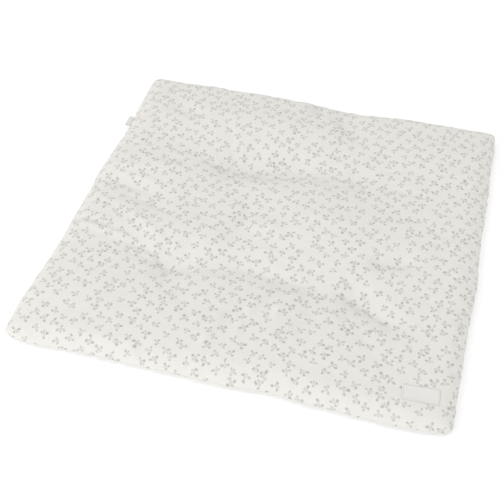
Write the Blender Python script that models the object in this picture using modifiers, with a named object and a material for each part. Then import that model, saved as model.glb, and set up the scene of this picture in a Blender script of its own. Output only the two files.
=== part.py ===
"""A baby play mat: a square cotton pad, filled and tufted through at four points.

Metres, +Z up. The origin is the middle of the flat underside, +X runs along the
front edge to the right and +Y runs to the back. Places on the mat are given as
shares of its side: u from the left edge, v from the front edge.
"""

import math
from typing import NamedTuple

import bmesh
import bpy
from mathutils import Matrix, Vector
from mathutils.bvhtree import BVHTree

# The mat's outline and its rolled edge
SIDE = 0.95
HALF = SIDE / 2
CORNER_RADIUS = 0.020
SEAM_HEIGHT = 0.019
TOP_ROLL = 0.036
UNDER_ROLL = 0.014

# The filling's height over the floor, away from puffs, channels and tufts
LOFT = 0.040
CORNER_LOSS = 0.010
CORNER_REACH = 0.10

# The mesh of the pad: cells along a side, and its lines' distances from the outer ring
CELLS = 42
EDGE_STEPS = (0.0, 0.007, 0.016, 0.030)
UNDER_RING_INSET = 0.012
LOWER_RING_INSET = 0.004
UPPER_RING_INSET = 0.003
TOP_RING_INSET = 0.010

# The share of a channel's length in which it fades out, at each end
CHANNEL_FADE = 0.3

# What a tuft's thread draws in: a wide hollow and a narrow pit
TUFT_HOLLOW_REACH = 0.085
TUFT_PIT_REACH = 0.030
TUFT_PIT_SHARE = 0.45
TUFT_UNDER_DIP = 0.004
TUFT_UNDER_REACH = 0.030

# Between touching pieces
SEAT_GAP = 0.0004

# The bare cloth patch near the front right corner
PATCH_WIDTH = 0.075
PATCH_DEPTH = 0.036
PATCH_THICKNESS = 0.0012
PATCH_U = 0.919
PATCH_V = 0.076
PATCH_TURN = math.radians(5)
PATCH_CELLS_WIDE = 14
PATCH_CELLS_DEEP = 7
RAY_START = 0.2

# The folded tape in the left seam, which leans to the back and reaches out less at its back end
TAB_LENGTH = 0.034
TAB_REACH = 0.018
TAB_BACK_SHARE = 0.75
TAB_LEAN = 0.009
TAB_THICKNESS = 0.001
TAB_V = 0.788
TAB_FOLD_RADIUS = 0.0016
TAB_FOLD_STEPS = 6
TAB_CELLS = 4
TAB_DROOP = 0.003

# Colours, linear, and roughness
COTTON_COLOUR = (0.80, 0.79, 0.76)
PATCH_COLOUR = (0.80, 0.81, 0.80)
TAPE_COLOUR = (0.60, 0.60, 0.58)
COTTON_ROUGHNESS = 0.9
LABEL_ROUGHNESS = 0.85


class Tuft(NamedTuple):
    """A point where a thread is pulled through the whole mat."""

    u: float
    v: float
    dip: float


class Puff(NamedTuple):
    """A place where the filling stands up, with its reach along the width and the depth."""

    u: float
    v: float
    rise: float
    wide: float
    deep: float


class Channel(NamedTuple):
    """A soft trough. Its left and right are those of someone who walks along its points."""

    points: tuple
    depth: float
    left: float
    right: float


class Bulge(NamedTuple):
    """A place along a side where the seam stands out, or is drawn in where it is below 0."""

    side: str
    along: float
    out: float
    reach: float


class Ring(NamedTuple):
    """A row of points round the rim, its distance inside the seam, and the panel it is on."""

    inset: float
    on_top: bool


TUFTS = (
    Tuft(u=0.350, v=0.680, dip=0.013),
    Tuft(u=0.668, v=0.692, dip=0.006),
    Tuft(u=0.302, v=0.294, dip=0.010),
    Tuft(u=0.735, v=0.304, dip=0.009),
)

PUFFS = (
    Puff(u=0.14, v=0.15, rise=0.007, wide=0.16, deep=0.10),
    Puff(u=0.46, v=0.13, rise=0.006, wide=0.14, deep=0.09),
    Puff(u=0.67, v=0.16, rise=0.008, wide=0.12, deep=0.12),
    Puff(u=0.12, v=0.61, rise=0.006, wide=0.11, deep=0.06),
    Puff(u=0.28, v=0.38, rise=0.012, wide=0.13, deep=0.09),
    Puff(u=0.62, v=0.52, rise=0.018, wide=0.16, deep=0.14),
    Puff(u=0.84, v=0.38, rise=0.002, wide=0.12, deep=0.10),
    Puff(u=0.24, v=0.84, rise=0.013, wide=0.18, deep=0.09),
    Puff(u=0.47, v=0.84, rise=0.012, wide=0.16, deep=0.09),
    Puff(u=0.80, v=0.84, rise=0.007, wide=0.14, deep=0.10),
)

CHANNELS = (
    Channel(
        points=(
            (0.15, 0.665), (0.28, 0.685), (0.34, 0.674), (0.41, 0.684),
            (0.49, 0.700), (0.63, 0.692), (0.74, 0.690),
        ),
        depth=0.014,
        left=0.045,
        right=0.050,
    ),
    Channel(
        points=((0.34, 0.672), (0.42, 0.688), (0.49, 0.700), (0.56, 0.696)),
        depth=0.013,
        left=0.032,
        right=0.052,
    ),
    Channel(
        points=(
            (0.08, 0.338), (0.18, 0.332), (0.295, 0.292), (0.35, 0.307),
            (0.42, 0.320), (0.56, 0.318), (0.77, 0.300),
        ),
        depth=0.012,
        left=0.040,
        right=0.040,
    ),
    Channel(
        points=((0.69, 0.316), (0.76, 0.290), (0.82, 0.256), (0.88, 0.222)),
        depth=0.010,
        left=0.026,
        right=0.032,
    ),
    Channel(
        points=((0.42, 0.60), (0.43, 0.53), (0.43, 0.45), (0.41, 0.34)),
        depth=0.006,
        left=0.045,
        right=0.030,
    ),
    Channel(
        points=((0.520, 1.08), (0.568, 0.95), (0.615, 0.872), (0.66, 0.80)),
        depth=0.008,
        left=0.040,
        right=0.035,
    ),
    Channel(
        points=((0.490, 1.05), (0.502, 0.96), (0.510, 0.90)),
        depth=0.007,
        left=0.026,
        right=0.026,
    ),
    Channel(
        points=((-0.02, 0.525), (0.10, 0.522), (0.18, 0.495), (0.26, 0.44)),
        depth=0.007,
        left=0.030,
        right=0.035,
    ),
    Channel(
        points=((0.08, 0.88), (0.15, 0.85), (0.22, 0.81)),
        depth=0.007,
        left=0.035,
        right=0.035,
    ),
    Channel(
        points=((0.73, 0.408), (0.79, 0.428), (0.87, 0.450)),
        depth=0.008,
        left=0.022,
        right=0.030,
    ),
    Channel(
        points=((0.70, 0.31), (0.66, 0.25), (0.64, 0.19), (0.66, 0.12)),
        depth=0.006,
        left=0.030,
        right=0.030,
    ),
)

# How far the middle of each side is drawn in by the filling
BOWS = {"front": 0.002, "right": 0.006, "back": 0.003, "left": 0.004}

BULGES = (
    Bulge(side="front", along=0.00, out=-0.005, reach=0.03),
    Bulge(side="front", along=0.08, out=0.004, reach=0.05),
    Bulge(side="front", along=0.62, out=-0.007, reach=0.06),
    Bulge(side="front", along=0.74, out=-0.002, reach=0.03),
    Bulge(side="front", along=0.99, out=-0.009, reach=0.05),
    Bulge(side="right", along=0.00, out=-0.005, reach=0.04),
    Bulge(side="right", along=0.09, out=-0.003, reach=0.07),
    Bulge(side="right", along=0.42, out=0.006, reach=0.09),
    Bulge(side="right", along=0.87, out=-0.006, reach=0.10),
    Bulge(side="right", along=0.98, out=-0.009, reach=0.04),
    Bulge(side="back", along=0.20, out=0.004, reach=0.07),
    Bulge(side="back", along=0.35, out=0.003, reach=0.05),
    Bulge(side="back", along=0.62, out=-0.011, reach=0.08),
    Bulge(side="left", along=0.11, out=0.004, reach=0.07),
    Bulge(side="left", along=0.30, out=-0.003, reach=0.06),
    Bulge(side="left", along=0.57, out=0.004, reach=0.05),
    Bulge(side="left", along=0.76, out=-0.005, reach=0.07),
)


def smooth(x):
    """0 up to x = 0, 1 from x = 1, and an even rise between."""
    x = min(max(x, 0.0), 1.0)
    return x * x * (3 - 2 * x)


def bell(distance, reach):
    """1 at no distance, falling away over the reach."""
    return math.exp(-((distance / reach) ** 2))


def tuft_dip(x, y, tuft):
    """How far a tuft draws the top down at a place."""
    away = math.hypot(x - (tuft.u - 0.5) * SIDE, y - (tuft.v - 0.5) * SIDE)
    hollow = (1 - TUFT_PIT_SHARE) * bell(away, TUFT_HOLLOW_REACH)
    pit = TUFT_PIT_SHARE * bell(away, TUFT_PIT_REACH)
    return tuft.dip * (hollow + pit)


def puff_rise(u, v, puff):
    """How far a puff lifts the top at a place."""
    return puff.rise * math.exp(-(((u - puff.u) / puff.wide) ** 2) - ((v - puff.v) / puff.deep) ** 2)


def channel_dip(u, v, channel):
    """How deep a channel is at a place: deepest on its line, and fading out at both ends."""
    place = Vector((u, v))
    nearest, along, walked, left_of_line = math.inf, 0.0, 0.0, False
    for start, end in zip(channel.points, channel.points[1:]):
        start, end = Vector(start), Vector(end)
        run = end - start
        share = min(max((place - start).dot(run) / run.length_squared, 0.0), 1.0)
        aside = place - (start + run * share)
        if aside.length < nearest:
            nearest = aside.length
            along = walked + run.length * share
            left_of_line = run.x * aside.y - run.y * aside.x > 0
        walked += run.length
    fade = smooth(min(along, walked - along) / (CHANNEL_FADE * walked))
    return channel.depth * fade * bell(nearest, channel.left if left_of_line else channel.right)


def corner_loss(x, y):
    """How much thinner the filling is near a corner."""
    away = math.hypot(HALF - abs(x), HALF - abs(y))
    return CORNER_LOSS * bell(away, CORNER_REACH)


def loft(x, y):
    """The height that the filling would have at a place if the edge weren't sewn down."""
    u, v = x / SIDE + 0.5, y / SIDE + 0.5
    height = LOFT - corner_loss(x, y)
    height += sum(puff_rise(u, v, puff) for puff in PUFFS)
    height -= sum(channel_dip(u, v, channel) for channel in CHANNELS)
    height -= sum(tuft_dip(x, y, tuft) for tuft in TUFTS)
    return height


def from_rim(x, y):
    """How far a place is inside the seam."""
    core = HALF - CORNER_RADIUS
    over_x, over_y = abs(x) - core, abs(y) - core
    outside = math.hypot(max(over_x, 0.0), max(over_y, 0.0))
    return CORNER_RADIUS - outside - min(max(over_x, over_y), 0.0)


def rolled(inset, reach):
    """The share of its full height that a rolled edge has at a distance inside the seam."""
    left = 1 - min(max(inset / reach, 0.0), 1.0)
    return math.sqrt(1 - left * left)


def top_height(x, y, inset):
    """The top panel's height."""
    return SEAM_HEIGHT + (loft(x, y) - SEAM_HEIGHT) * rolled(inset, TOP_ROLL)


def under_height(x, y, inset):
    """The back panel's height: flat on the floor but for the tufts' dimples and the rim."""
    dimples = 0.0
    for tuft in TUFTS:
        away = math.hypot(x - (tuft.u - 0.5) * SIDE, y - (tuft.v - 0.5) * SIDE)
        dimples += TUFT_UNDER_DIP * smooth(1 - away / TUFT_UNDER_REACH)
    return dimples + SEAM_HEIGHT * (1 - rolled(inset, UNDER_ROLL))


def grid_line(index, half):
    """Where a line of a panel's grid lies: close together near the rim, then evenly spaced."""
    if index > CELLS / 2:
        return -grid_line(CELLS - index, half)
    last = len(EDGE_STEPS) - 1
    if index <= last:
        return EDGE_STEPS[index] - half
    inner = half - EDGE_STEPS[last]
    return -inner + 2 * inner * (index - last) / (CELLS - 2 * last)


def rounded(x, y, half, radius):
    """A point of a square grid, moved so that the grid's outer corners follow an arc."""
    core = half - radius
    over_x = max(abs(x) - core, 0.0) / radius
    over_y = max(abs(y) - core, 0.0) / radius
    if over_x == 0.0 or over_y == 0.0:
        return x, y
    round_x = core + radius * over_x * math.sqrt(1 - over_y * over_y / 2)
    round_y = core + radius * over_y * math.sqrt(1 - over_x * over_x / 2)
    return math.copysign(round_x, x), math.copysign(round_y, y)


def side_shift(side, along):
    """How far outwards a side's seam lies from the straight line between its corners."""
    shift = -BOWS[side] * (1 - (2 * along - 1) ** 2)
    for bulge in BULGES:
        if bulge.side == side:
            shift += bulge.out * bell(along - bulge.along, bulge.reach)
    return shift


def drawn_in(x, y):
    """A place of the square after its sides take their real lines. The middle stays where it is."""
    across, up = x / HALF, y / HALF
    shift_x = side_shift("right" if x > 0 else "left", (up + 1) / 2) * across**3
    shift_y = side_shift("back" if y > 0 else "front", (across + 1) / 2) * up**3
    return x + shift_x, y + shift_y


def material(name, colour, roughness):
    """A plain cloth finish."""
    made = bpy.data.materials.new(name)
    made.use_nodes = True
    shader = made.node_tree.nodes["Principled BSDF"]
    shader.inputs["Base Color"].default_value = (*colour, 1.0)
    shader.inputs["Roughness"].default_value = roughness
    shader.inputs["Metallic"].default_value = 0.0
    return made


def mesh_object(name, shape, finish, collection):
    """A named object made from a bmesh, which is freed."""
    bmesh.ops.recalc_face_normals(shape, faces=shape.faces)
    mesh = bpy.data.meshes.new(name)
    shape.to_mesh(mesh)
    shape.free()
    mesh.materials.append(finish)
    mesh.shade_smooth()
    made = bpy.data.objects.new(name, mesh)
    collection.objects.link(made)
    return made


def padded_mat(collection):
    """The filled mat: a cube cut into a grid, each of its points moved to its place on the pad."""
    rings = (
        Ring(inset=UNDER_RING_INSET, on_top=False),
        Ring(inset=LOWER_RING_INSET, on_top=False),
        Ring(inset=0.0, on_top=True),
        Ring(inset=UPPER_RING_INSET, on_top=True),
        Ring(inset=TOP_RING_INSET, on_top=True),
    )
    shape = bmesh.new()
    bmesh.ops.create_cube(shape, size=2.0)
    level = [edge for edge in shape.edges if edge.verts[0].co.z == edge.verts[1].co.z]
    bmesh.ops.subdivide_edges(shape, edges=level, cuts=CELLS - 1, use_grid_fill=True)
    upright = [edge for edge in shape.edges if edge.verts[0].co.z != edge.verts[1].co.z]
    bmesh.ops.subdivide_edges(shape, edges=upright, cuts=len(rings) - 2, use_grid_fill=True)
    for point in shape.verts:
        ring = rings[round((point.co.z + 1) / 2 * (len(rings) - 1))]
        column = round((point.co.x + 1) / 2 * CELLS)
        row = round((point.co.y + 1) / 2 * CELLS)
        half = HALF - ring.inset
        flat_x, flat_y = rounded(
            grid_line(column, half), grid_line(row, half), half, CORNER_RADIUS - ring.inset
        )
        inset = from_rim(flat_x, flat_y)
        x, y = drawn_in(flat_x, flat_y)
        z = top_height(x, y, inset) if ring.on_top else under_height(x, y, inset)
        point.co = (x, y, z)
    finish = material("printed_cotton", COTTON_COLOUR, COTTON_ROUGHNESS)
    return mesh_object("padded_mat", shape, finish, collection)


def corner_patch(mat, collection):
    """The bare patch: a grid laid on the mat's top, a seat's gap above it, and thickened upwards."""
    surface = BVHTree.FromObject(mat, bpy.context.evaluated_depsgraph_get())
    centre = Vector(((PATCH_U - 0.5) * SIDE, (PATCH_V - 0.5) * SIDE, RAY_START))
    turn = Matrix.Rotation(PATCH_TURN, 3, "Z")
    shape = bmesh.new()
    bmesh.ops.create_grid(shape, x_segments=PATCH_CELLS_WIDE, y_segments=PATCH_CELLS_DEEP, size=0.5)
    for point in shape.verts:
        above = centre + turn @ Vector((point.co.x * PATCH_WIDTH, point.co.y * PATCH_DEPTH, 0))
        hit = surface.ray_cast(above, Vector((0, 0, -1)))[0]
        point.co = (above.x, above.y, hit.z + SEAT_GAP)
    finish = material("patch_cotton", PATCH_COLOUR, LABEL_ROUGHNESS)
    patch = mesh_object("corner_patch", shape, finish, collection)
    thick = patch.modifiers.new("Cloth thickness", "SOLIDIFY")
    thick.thickness = PATCH_THICKNESS
    thick.offset = 1.0
    return patch


def tab_section():
    """The folded tape's middle line from its upper end at the seam, round the fold, and back."""
    rise = TAB_FOLD_RADIUS
    straight = TAB_REACH - TAB_FOLD_RADIUS
    line = [(0.0, rise), (straight / 2, rise)]
    for step in range(TAB_FOLD_STEPS + 1):
        turn = math.pi * step / TAB_FOLD_STEPS
        line.append((straight + rise * math.sin(turn), rise * math.cos(turn)))
    line += [(straight / 2, -rise), (0.0, -rise)]
    return line


def side_tab(collection):
    """The tape's two layers standing out of the left seam: a strip along the fold, bent and thickened."""
    section = tab_section()
    middle_y = (TAB_V - 0.5) * SIDE
    shape = bmesh.new()
    bmesh.ops.create_grid(shape, x_segments=len(section) - 1, y_segments=TAB_CELLS, size=0.5)
    for point in shape.verts:
        out, high = section[round((point.co.x + 0.5) * (len(section) - 1))]
        out *= 1 - (1 - TAB_BACK_SHARE) * (point.co.y + 0.5)
        along_seam = middle_y + point.co.y * TAB_LENGTH
        seam_x = drawn_in(-HALF, along_seam)[0]
        y = along_seam + TAB_LEAN * out / TAB_REACH
        droop = TAB_DROOP * (out / TAB_REACH) ** 2
        point.co = (seam_x - SEAT_GAP - out, y, SEAM_HEIGHT + high - droop)
    tab = mesh_object("side_tab", shape, material("tab_tape", TAPE_COLOUR, LABEL_ROUGHNESS), collection)
    thick = tab.modifiers.new("Tape thickness", "SOLIDIFY")
    thick.thickness = TAB_THICKNESS
    thick.offset = 0.0
    return tab


def main():
    for old in list(bpy.data.objects):
        bpy.data.objects.remove(old, do_unlink=True)
    collection = bpy.data.collections.new("Baby play mat")
    bpy.context.scene.collection.children.link(collection)
    mat = padded_mat(collection)
    bpy.context.view_layer.update()
    corner_patch(mat, collection)
    side_tab(collection)


main()
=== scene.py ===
"""The looks of a square baby play mat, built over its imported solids.

Metres, +Z up. The origin is the middle of the flat underside, +X runs along the
front edge to the right and +Y runs to the back. Places on the mat are given as
shares of its side: u from the left edge, v from the front edge.
"""

import logging
import math
from collections.abc import Iterable, Sequence
from dataclasses import dataclass, field
from enum import Enum
from typing import Any, NamedTuple

import bmesh
import bpy
import numpy as np
from mathutils import Euler, Matrix, Vector, noise
from mathutils.bvhtree import BVHTree


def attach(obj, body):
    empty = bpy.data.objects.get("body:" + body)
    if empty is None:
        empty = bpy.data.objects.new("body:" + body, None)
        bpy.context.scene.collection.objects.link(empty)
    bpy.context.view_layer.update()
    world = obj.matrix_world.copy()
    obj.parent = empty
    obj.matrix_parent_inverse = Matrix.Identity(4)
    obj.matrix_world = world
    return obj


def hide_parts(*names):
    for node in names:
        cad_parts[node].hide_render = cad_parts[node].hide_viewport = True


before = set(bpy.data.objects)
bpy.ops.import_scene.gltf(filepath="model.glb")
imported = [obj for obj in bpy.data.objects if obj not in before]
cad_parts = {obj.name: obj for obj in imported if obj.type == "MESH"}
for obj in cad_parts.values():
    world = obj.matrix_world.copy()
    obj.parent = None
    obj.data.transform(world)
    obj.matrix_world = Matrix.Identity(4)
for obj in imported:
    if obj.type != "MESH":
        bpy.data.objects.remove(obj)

LOG = logging.getLogger("play_mat")
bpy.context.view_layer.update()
BODY = "root"
MAP_NAME = "OFBake"
UP = Vector((0, 0, 1))


class Panel(Enum):
    """The cover's two cloth panels. Their numbers are those of its material slots."""

    TOP = 0
    BACK = 1


class Side(Enum):
    """A side of the mat, by where it lies."""

    FRONT = "front"
    RIGHT = "right"
    BACK = "back"
    LEFT = "left"


class Tuft(NamedTuple):
    """A point where a thread is pulled through the mat, and how deep it draws the top down."""

    u: float
    v: float
    dip: float
    turn: float


class Puff(NamedTuple):
    """A place where the filling stands up, with its reach along the width and the depth."""

    u: float
    v: float
    rise: float
    wide: float
    deep: float


class Channel(NamedTuple):
    """A soft trough. Its left and right are those of someone who walks along its points."""

    points: tuple[tuple[float, float], ...]
    depth: float
    left: float
    right: float


class Crease(NamedTuple):
    """A fine fold along its points: a ridge where its rise is above 0, a furrow below."""

    points: tuple[tuple[float, float], ...]
    rise: float
    width: float


class Pleat(NamedTuple):
    """A small fold that runs away from a tuft, by the tuft's number."""

    tuft: int
    heading: float
    reach: float
    depth: float
    width: float


class Bulge(NamedTuple):
    """A place along a side where the seam stands out, or is drawn in where it is below 0."""

    side: Side
    along: float
    out: float
    reach: float


class Wave(NamedTuple):
    """One of the waves that make up the puckers along the seam."""

    length: float
    height: float
    start: float


class Leaf(NamedTuple):
    """A round leaf of the printed sprig, in shares of the space that one sprig has."""

    x: float
    y: float
    radius: float
    ink: float
    fades: float


TUFTS = (
    Tuft(u=0.350, v=0.680, dip=0.013, turn=35),
    Tuft(u=0.668, v=0.692, dip=0.006, turn=-20),
    Tuft(u=0.302, v=0.294, dip=0.010, turn=60),
    Tuft(u=0.735, v=0.304, dip=0.009, turn=10),
)

PUFFS = (
    Puff(u=0.14, v=0.15, rise=0.007, wide=0.16, deep=0.10),
    Puff(u=0.46, v=0.13, rise=0.006, wide=0.14, deep=0.09),
    Puff(u=0.67, v=0.16, rise=0.008, wide=0.12, deep=0.12),
    Puff(u=0.12, v=0.61, rise=0.006, wide=0.11, deep=0.06),
    Puff(u=0.28, v=0.38, rise=0.012, wide=0.13, deep=0.09),
    Puff(u=0.62, v=0.52, rise=0.018, wide=0.16, deep=0.14),
    Puff(u=0.84, v=0.38, rise=0.002, wide=0.12, deep=0.10),
    Puff(u=0.24, v=0.84, rise=0.013, wide=0.18, deep=0.09),
    Puff(u=0.47, v=0.84, rise=0.012, wide=0.16, deep=0.09),
    Puff(u=0.80, v=0.84, rise=0.007, wide=0.14, deep=0.10),
)

CHANNELS = (
    Channel(
        points=(
            (0.15, 0.665), (0.28, 0.685), (0.34, 0.674), (0.41, 0.684),
            (0.49, 0.700), (0.63, 0.692), (0.74, 0.690),
        ),
        depth=0.014,
        left=0.045,
        right=0.050,
    ),
    Channel(
        points=((0.34, 0.672), (0.42, 0.688), (0.49, 0.700), (0.56, 0.696)),
        depth=0.013,
        left=0.032,
        right=0.052,
    ),
    Channel(
        points=(
            (0.08, 0.338), (0.18, 0.332), (0.295, 0.292), (0.35, 0.307),
            (0.42, 0.320), (0.56, 0.318), (0.77, 0.300),
        ),
        depth=0.012,
        left=0.040,
        right=0.040,
    ),
    Channel(
        points=((0.69, 0.316), (0.76, 0.290), (0.82, 0.256), (0.88, 0.222)),
        depth=0.010,
        left=0.026,
        right=0.032,
    ),
    Channel(
        points=((0.42, 0.60), (0.43, 0.53), (0.43, 0.45), (0.41, 0.34)),
        depth=0.006,
        left=0.045,
        right=0.030,
    ),
    Channel(
        points=((0.520, 1.08), (0.568, 0.95), (0.615, 0.872), (0.66, 0.80)),
        depth=0.008,
        left=0.040,
        right=0.035,
    ),
    Channel(
        points=((0.490, 1.05), (0.502, 0.96), (0.510, 0.90)),
        depth=0.007,
        left=0.026,
        right=0.026,
    ),
    Channel(
        points=((-0.02, 0.525), (0.10, 0.522), (0.18, 0.495), (0.26, 0.44)),
        depth=0.007,
        left=0.030,
        right=0.035,
    ),
    Channel(
        points=((0.08, 0.88), (0.15, 0.85), (0.22, 0.81)),
        depth=0.007,
        left=0.035,
        right=0.035,
    ),
    Channel(
        points=((0.73, 0.408), (0.79, 0.428), (0.87, 0.450)),
        depth=0.008,
        left=0.022,
        right=0.030,
    ),
    Channel(
        points=((0.70, 0.31), (0.66, 0.25), (0.64, 0.19), (0.66, 0.12)),
        depth=0.006,
        left=0.030,
        right=0.030,
    ),
)

CREASES = (
    Crease(points=((0.23, 0.680), (0.28, 0.674), (0.325, 0.656), (0.38, 0.662)), rise=-0.0046, width=0.010),
    Crease(points=((0.36, 0.662), (0.42, 0.676), (0.48, 0.688), (0.55, 0.684)), rise=-0.0048, width=0.015),
    Crease(points=((0.38, 0.656), (0.45, 0.668), (0.53, 0.668)), rise=-0.0038, width=0.016),
    Crease(points=((0.57, 0.674), (0.62, 0.674), (0.68, 0.670)), rise=0.0024, width=0.014),
    Crease(points=((0.338, 0.680), (0.330, 0.705), (0.332, 0.730)), rise=-0.0026, width=0.007),
    Crease(points=((0.72, 0.668), (0.79, 0.674), (0.86, 0.670)), rise=-0.0030, width=0.012),
    Crease(points=((0.14, 0.638), (0.18, 0.642), (0.23, 0.652)), rise=-0.0030, width=0.011),
    Crease(
        points=((0.16, 0.324), (0.225, 0.320), (0.260, 0.306), (0.283, 0.286), (0.300, 0.258)),
        rise=-0.0050,
        width=0.007,
    ),
    Crease(points=((0.25, 0.304), (0.30, 0.284), (0.35, 0.302)), rise=-0.0026, width=0.010),
    Crease(points=((0.17, 0.292), (0.22, 0.295), (0.25, 0.288), (0.28, 0.276)), rise=-0.0018, width=0.008),
    Crease(points=((0.38, 0.325), (0.48, 0.318), (0.58, 0.308), (0.68, 0.302)), rise=-0.0022, width=0.010),
    Crease(points=((0.50, 0.345), (0.57, 0.338), (0.64, 0.325)), rise=0.0036, width=0.011),
    Crease(points=((0.70, 0.306), (0.75, 0.286), (0.80, 0.259), (0.85, 0.238)), rise=-0.0050, width=0.011),
    Crease(points=((0.740, 0.412), (0.79, 0.422), (0.85, 0.438)), rise=-0.0066, width=0.013),
    Crease(points=((0.00, 0.580), (0.07, 0.584), (0.14, 0.592), (0.22, 0.602)), rise=0.0030, width=0.011),
    Crease(points=((0.10, 0.612), (0.17, 0.612), (0.24, 0.615)), rise=0.0034, width=0.011),
    Crease(points=((0.03, 0.556), (0.12, 0.552), (0.20, 0.538)), rise=0.0034, width=0.009),
    Crease(points=((-0.02, 0.524), (0.07, 0.524), (0.15, 0.514), (0.21, 0.490)), rise=-0.0030, width=0.011),
    Crease(points=((0.09, 0.488), (0.16, 0.474), (0.23, 0.450), (0.27, 0.425)), rise=-0.0034, width=0.012),
    Crease(points=((0.03, 0.452), (0.09, 0.450), (0.15, 0.440)), rise=0.0030, width=0.010),
    Crease(points=((0.10, 0.458), (0.17, 0.412), (0.23, 0.368), (0.30, 0.330)), rise=0.0038, width=0.014),
    Crease(points=((-0.01, 0.392), (0.06, 0.390), (0.13, 0.382)), rise=0.0026, width=0.009),
    Crease(points=((-0.01, 0.354), (0.07, 0.354), (0.15, 0.342), (0.22, 0.330)), rise=0.0040, width=0.010),
    Crease(points=((0.01, 0.374), (0.08, 0.372), (0.14, 0.362)), rise=-0.0022, width=0.009),
    Crease(points=((0.10, 0.858), (0.16, 0.842), (0.22, 0.815)), rise=-0.0044, width=0.022),
    Crease(points=((0.487, 0.985), (0.503, 0.948), (0.512, 0.915)), rise=-0.0060, width=0.013),
    Crease(points=((0.552, 0.970), (0.577, 0.912), (0.611, 0.866), (0.650, 0.82)), rise=-0.0030, width=0.012),
    Crease(points=((0.515, 0.950), (0.540, 0.900), (0.575, 0.845)), rise=0.0022, width=0.012),
    Crease(points=((0.42, 0.470), (0.475, 0.460), (0.54, 0.448)), rise=0.0060, width=0.020),
    Crease(points=((0.415, 0.540), (0.428, 0.490), (0.420, 0.430)), rise=-0.0020, width=0.012),
    Crease(points=((0.54, 0.520), (0.62, 0.510), (0.70, 0.520)), rise=0.0020, width=0.016),
    Crease(points=((0.45, 0.415), (0.52, 0.400), (0.60, 0.385)), rise=-0.0016, width=0.014),
    Crease(points=((0.562, 0.295), (0.538, 0.260), (0.520, 0.215), (0.516, 0.160)), rise=0.0066, width=0.011),
    Crease(points=((0.640, 0.288), (0.600, 0.255), (0.578, 0.215), (0.574, 0.165)), rise=0.0062, width=0.011),
    Crease(points=((0.63, 0.265), (0.655, 0.218), (0.69, 0.178)), rise=-0.0022, width=0.018),
    Crease(points=((0.47, 0.185), (0.454, 0.130), (0.432, 0.060)), rise=0.0058, width=0.013),
    Crease(points=((0.50, 0.190), (0.51, 0.140), (0.51, 0.090)), rise=0.0024, width=0.011),
    Crease(points=((0.31, 0.255), (0.35, 0.195), (0.41, 0.140)), rise=-0.0026, width=0.020),
    Crease(points=((0.25, 0.265), (0.20, 0.200), (0.19, 0.120)), rise=-0.0026, width=0.018),
    Crease(points=((0.76, 0.250), (0.77, 0.200), (0.80, 0.150)), rise=-0.0026, width=0.016),
    Crease(points=((0.70, 0.725), (0.76, 0.750), (0.84, 0.765)), rise=-0.0024, width=0.013),
    Crease(points=((0.86, 0.560), (0.91, 0.545), (0.97, 0.550)), rise=-0.0022, width=0.013),
    Crease(points=((0.86, 0.335), (0.92, 0.322), (0.98, 0.330)), rise=-0.0022, width=0.013),
)

PLEATS = (
    Pleat(tuft=0, heading=8, reach=0.060, depth=0.0024, width=0.007),
    Pleat(tuft=0, heading=62, reach=0.045, depth=0.0018, width=0.007),
    Pleat(tuft=0, heading=118, reach=0.040, depth=0.0016, width=0.007),
    Pleat(tuft=0, heading=168, reach=0.070, depth=0.0026, width=0.007),
    Pleat(tuft=0, heading=214, reach=0.055, depth=0.0020, width=0.006),
    Pleat(tuft=0, heading=292, reach=0.050, depth=0.0020, width=0.007),
    Pleat(tuft=1, heading=15, reach=0.055, depth=0.0022, width=0.007),
    Pleat(tuft=1, heading=84, reach=0.050, depth=0.0020, width=0.007),
    Pleat(tuft=1, heading=140, reach=0.045, depth=0.0016, width=0.006),
    Pleat(tuft=1, heading=190, reach=0.060, depth=0.0022, width=0.007),
    Pleat(tuft=1, heading=262, reach=0.045, depth=0.0018, width=0.007),
    Pleat(tuft=1, heading=320, reach=0.045, depth=0.0016, width=0.006),
    Pleat(tuft=2, heading=22, reach=0.055, depth=0.0022, width=0.007),
    Pleat(tuft=2, heading=95, reach=0.045, depth=0.0018, width=0.007),
    Pleat(tuft=2, heading=150, reach=0.070, depth=0.0028, width=0.007),
    Pleat(tuft=2, heading=205, reach=0.050, depth=0.0018, width=0.006),
    Pleat(tuft=2, heading=255, reach=0.045, depth=0.0018, width=0.007),
    Pleat(tuft=2, heading=318, reach=0.055, depth=0.0020, width=0.007),
    Pleat(tuft=3, heading=36, reach=0.045, depth=0.0018, width=0.007),
    Pleat(tuft=3, heading=100, reach=0.050, depth=0.0020, width=0.007),
    Pleat(tuft=3, heading=176, reach=0.055, depth=0.0022, width=0.007),
    Pleat(tuft=3, heading=270, reach=0.050, depth=0.0010, width=0.007),
    Pleat(tuft=3, heading=325, reach=0.075, depth=0.0030, width=0.007),
)

# How far the middle of each side is drawn in by the filling
BOWS = {Side.FRONT: 0.002, Side.RIGHT: 0.006, Side.BACK: 0.003, Side.LEFT: 0.004}

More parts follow.
